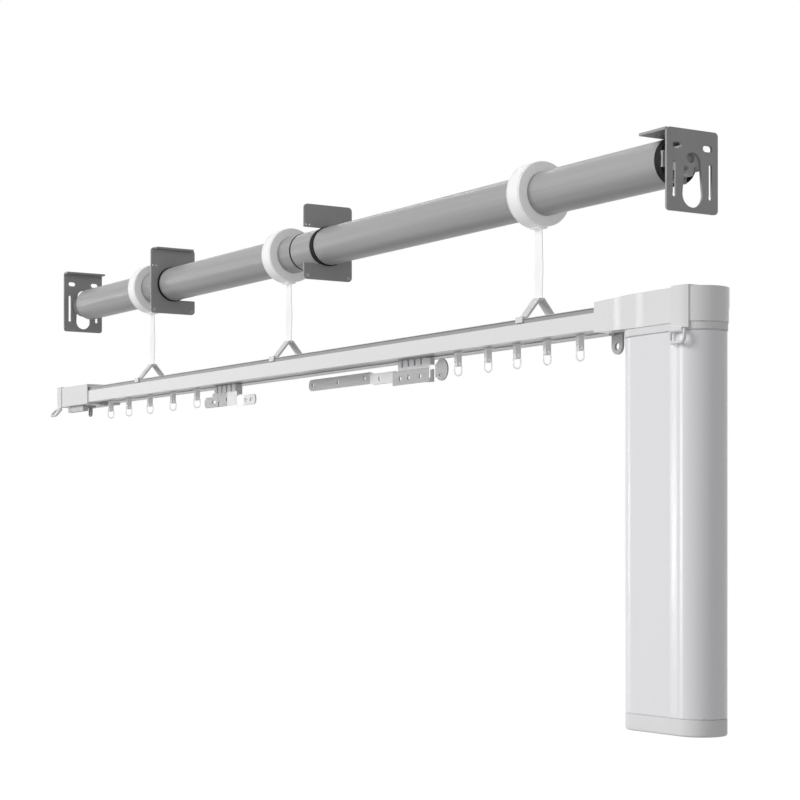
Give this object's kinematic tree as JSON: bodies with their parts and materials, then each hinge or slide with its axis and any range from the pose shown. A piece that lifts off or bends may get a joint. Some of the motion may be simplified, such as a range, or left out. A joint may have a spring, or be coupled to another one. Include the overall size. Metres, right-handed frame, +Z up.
{
  "type": "motorized curtain lift system",
  "caption": "Ceiling-mounted powered roller tube that lowers a motorized curtain track on straps; the track has a belt drive, two overlapping carriers and gliders with hook loops.",
  "frame": {"origin": "centre of the top face of the middle bracket's ceiling flange, in the ceiling plane", "axes": "+Z up; +X along the tube and the track towards the motor; -Y the front, the side the picture shows"},
  "size_m": [1.4683, 0.0716, 0.5775],
  "materials": {
    "bracket_steel": "satin",
    "tube_aluminium": "satin",
    "black_plastic": "matte",
    "light_plastic": "satin",
    "white_plastic": "satin",
    "rail_white": "white powder coat",
    "housing_white": "white powder coat",
    "motor_metal": "plain",
    "battery_wrap": "plain",
    "strap_fabric": "woven",
    "belt_rubber": "matte",
    "hanger_steel": "satin",
    "arm_steel": "brushed",
    "glider_plastic": "satin",
    "ring_plastic": "clear, glossy"
  },
  "bodies": {
    "ceiling_frame": {"end_bracket_drive": "bracket_steel", "end_bracket_idler": "bracket_steel", "mid_bracket_center": "bracket_steel", "mid_bracket_left": "bracket_steel", "bearings": "black_plastic", "motor_head": "black_plastic", "motor_star": "light_plastic", "tubular_motor": "motor_metal", "idler_pin": "light_plastic", "strap_guides": "white_plastic", "lift_straps": "strap_fabric"},
    "lift_tube": {"tube_drive": "tube_aluminium", "tube_middle": "tube_aluminium", "tube_idler": "tube_aluminium", "tube_couplers": "light_plastic", "seam_rings": "black_plastic", "drive_adapter": "light_plastic", "idler_plug": "black_plastic", "strap_spools": "white_plastic"},
    "track": {"strap_hangers": "hanger_steel", "track_rail": "rail_white", "drive_belt": "belt_rubber", "pulley_box": "white_plastic", "pulley_box_base": "black_plastic", "gearbox_head": "white_plastic", "lock_ring": "white_plastic", "motor_housing": "housing_white", "motor_bottom_cap": "white_plastic", "motor_core": "motor_metal", "battery_pack": "battery_wrap", "clip_bands": "white_plastic", "end_stops": "glider_plastic"},
    "drive_wheel": {"drive_pulley": "light_plastic"},
    "idler_wheel": {"idler_pulley": "light_plastic"},
    "lever_drive": {"clip_lever_drive": "white_plastic"},
    "lever_idler": {"clip_lever_idler": "white_plastic"},
    "master_drive": {"carrier_drive": "light_plastic", "carrier_drive_arm": "arm_steel"},
    "master_idler": {"carrier_idler": "light_plastic", "carrier_idler_arm": "arm_steel"},
    "glide_d1": {"glider_d1": "glider_plastic"},
    "loop_d1": {"ring_d1": "ring_plastic"},
    "glide_d2": {"glider_d2": "glider_plastic"},
    "loop_d2": {"ring_d2": "ring_plastic"},
    "glide_d3": {"glider_d3": "glider_plastic"},
    "loop_d3": {"ring_d3": "ring_plastic"},
    "glide_d4": {"glider_d4": "glider_plastic"},
    "loop_d4": {"ring_d4": "ring_plastic"},
    "glide_d5": {"glider_d5": "glider_plastic"},
    "loop_d5": {"ring_d5": "ring_plastic"},
    "glide_i1": {"glider_i1": "glider_plastic"},
    "loop_i1": {"ring_i1": "ring_plastic"},
    "glide_i2": {"glider_i2": "glider_plastic"},
    "loop_i2": {"ring_i2": "ring_plastic"},
    "glide_i3": {"glider_i3": "glider_plastic"},
    "loop_i3": {"ring_i3": "ring_plastic"},
    "glide_i4": {"glider_i4": "glider_plastic"},
    "loop_i4": {"ring_i4": "ring_plastic"},
    "glide_i5": {"glider_i5": "glider_plastic"},
    "loop_i5": {"ring_i5": "ring_plastic"}
  },
  "joints": [
    {"name": "track_lift", "type": "slide", "parent": "ceiling_frame", "child": "track", "axis": [0, 0, 1], "range_m": [-0.6, 0], "deforming": ["lift_straps"]},
    {"name": "tube_spin", "type": "hinge", "parent": "ceiling_frame", "child": "lift_tube", "pos_m": [0, 0, -0.049], "axis": [1, 0, 0], "range_deg": [-2, 1325]},
    {"name": "carrier_slide", "type": "slide", "parent": "track", "child": "master_drive", "axis": [1, 0, 0], "range_m": [-0.155, 0.19]},
    {"name": "carrier_idler_slide", "type": "slide", "parent": "track", "child": "master_idler", "axis": [1, 0, 0], "range_m": [-0.191, 0.166]},
    {"name": "drive_wheel_spin", "type": "hinge", "parent": "track", "child": "drive_wheel", "pos_m": [0.62, 0, -0.19], "axis": [0, 0, 1], "range_deg": [-680, 780]},
    {"name": "idler_wheel_spin", "type": "hinge", "parent": "track", "child": "idler_wheel", "pos_m": [-0.705, 0, -0.19], "axis": [0, 0, 1], "range_deg": [-680, 780]},
    {"name": "clip_lever_drive_swing", "type": "hinge", "parent": "track", "child": "lever_drive", "pos_m": [0.679, -0.028, -0.2094], "axis": [1, 0, 0], "range_deg": [-75, 4]},
    {"name": "clip_lever_idler_swing", "type": "hinge", "parent": "track", "child": "lever_idler", "pos_m": [-0.7535, -0.0279, -0.2043], "axis": [1, 0, 0], "range_deg": [-40, 38]},
    {"name": "glide_d1", "type": "slide", "parent": "track", "child": "glide_d1", "axis": [1, 0, 0], "range_m": [-0.0294, 0.0358]},
    {"name": "glide_d2", "type": "slide", "parent": "track", "child": "glide_d2", "axis": [1, 0, 0], "range_m": [-0.0601, 0.0734]},
    {"name": "glide_d3", "type": "slide", "parent": "track", "child": "glide_d3", "axis": [1, 0, 0], "range_m": [-0.089, 0.1089]},
    {"name": "glide_d4", "type": "slide", "parent": "track", "child": "glide_d4", "axis": [1, 0, 0], "range_m": [-0.1183, 0.1448]},
    {"name": "glide_d5", "type": "slide", "parent": "track", "child": "glide_d5", "axis": [1, 0, 0], "range_m": [-0.15, 0.1836]},
    {"name": "glide_i1", "type": "slide", "parent": "track", "child": "glide_i1", "axis": [1, 0, 0], "range_m": [-0.0048, 0.0041]},
    {"name": "glide_i2", "type": "slide", "parent": "track", "child": "glide_i2", "axis": [1, 0, 0], "range_m": [-0.0466, 0.0382]},
    {"name": "glide_i3", "type": "slide", "parent": "track", "child": "glide_i3", "axis": [1, 0, 0], "range_m": [-0.0884, 0.0723]},
    {"name": "glide_i4", "type": "slide", "parent": "track", "child": "glide_i4", "axis": [1, 0, 0], "range_m": [-0.1321, 0.1079]},
    {"name": "glide_i5", "type": "slide", "parent": "track", "child": "glide_i5", "axis": [1, 0, 0], "range_m": [-0.1758, 0.1436]},
    {"name": "loop_swing_d1", "type": "hinge", "parent": "glide_d1", "child": "loop_d1", "pos_m": [0.4982, 0, -0.2098], "axis": [1, 0, 0], "range_deg": [-28, 28]},
    {"name": "loop_swing_d2", "type": "hinge", "parent": "glide_d2", "child": "loop_d2", "pos_m": [0.4436, 0, -0.2098], "axis": [1, 0, 0], "range_deg": [-28, 28]},
    {"name": "loop_swing_d3", "type": "hinge", "parent": "glide_d3", "child": "loop_d3", "pos_m": [0.3916, 0, -0.2098], "axis": [1, 0, 0], "range_deg": [-28, 28]},
    {"name": "loop_swing_d4", "type": "hinge", "parent": "glide_d4", "child": "loop_d4", "pos_m": [0.3393, 0, -0.2098], "axis": [1, 0, 0], "range_deg": [-28, 28]},
    {"name": "loop_swing_d5", "type": "hinge", "parent": "glide_d5", "child": "loop_d5", "pos_m": [0.2827, 0, -0.2098], "axis": [1, 0, 0], "range_deg": [-28, 28]},
    {"name": "loop_swing_i1", "type": "hinge", "parent": "glide_i1", "child": "loop_i1", "pos_m": [-0.6254, 0, -0.2098], "axis": [1, 0, 0], "range_deg": [-28, 28]},
    {"name": "loop_swing_i2", "type": "hinge", "parent": "glide_i2", "child": "loop_i2", "pos_m": [-0.5627, 0, -0.2098], "axis": [1, 0, 0], "range_deg": [-28, 28]},
    {"name": "loop_swing_i3", "type": "hinge", "parent": "glide_i3", "child": "loop_i3", "pos_m": [-0.4923, 0, -0.2098], "axis": [1, 0, 0], "range_deg": [-28, 28]},
    {"name": "loop_swing_i4", "type": "hinge", "parent": "glide_i4", "child": "loop_i4", "pos_m": [-0.4185, 0, -0.2098], "axis": [1, 0, 0], "range_deg": [-28, 28]},
    {"name": "loop_swing_i5", "type": "hinge", "parent": "glide_i5", "child": "loop_i5", "pos_m": [-0.3449, 0, -0.2098], "axis": [1, 0, 0], "range_deg": [-28, 28]}
  ],
  "couplings": [
    {"joint": "tube_spin", "follows": "track_lift", "rad_per_m": -38.462},
    {"joint": "carrier_idler_slide", "follows": "carrier_slide", "ratio": -1},
    {"joint": "drive_wheel_spin", "follows": "carrier_slide", "rad_per_m": 71.429},
    {"joint": "idler_wheel_spin", "follows": "carrier_slide", "rad_per_m": 71.429},
    {"joint": "glide_d1", "follows": "carrier_slide", "ratio": 0.183},
    {"joint": "glide_d2", "follows": "carrier_slide", "ratio": 0.381},
    {"joint": "glide_d3", "follows": "carrier_slide", "ratio": 0.568},
    {"joint": "glide_d4", "follows": "carrier_slide", "ratio": 0.757},
    {"joint": "glide_d5", "follows": "carrier_slide", "ratio": 0.961},
    {"joint": "glide_i1", "follows": "carrier_slide", "ratio": -0.02},
    {"joint": "glide_i2", "follows": "carrier_slide", "ratio": -0.24},
    {"joint": "glide_i3", "follows": "carrier_slide", "ratio": -0.46},
    {"joint": "glide_i4", "follows": "carrier_slide", "ratio": -0.69},
    {"joint": "glide_i5", "follows": "carrier_slide", "ratio": -0.92}
  ]
}
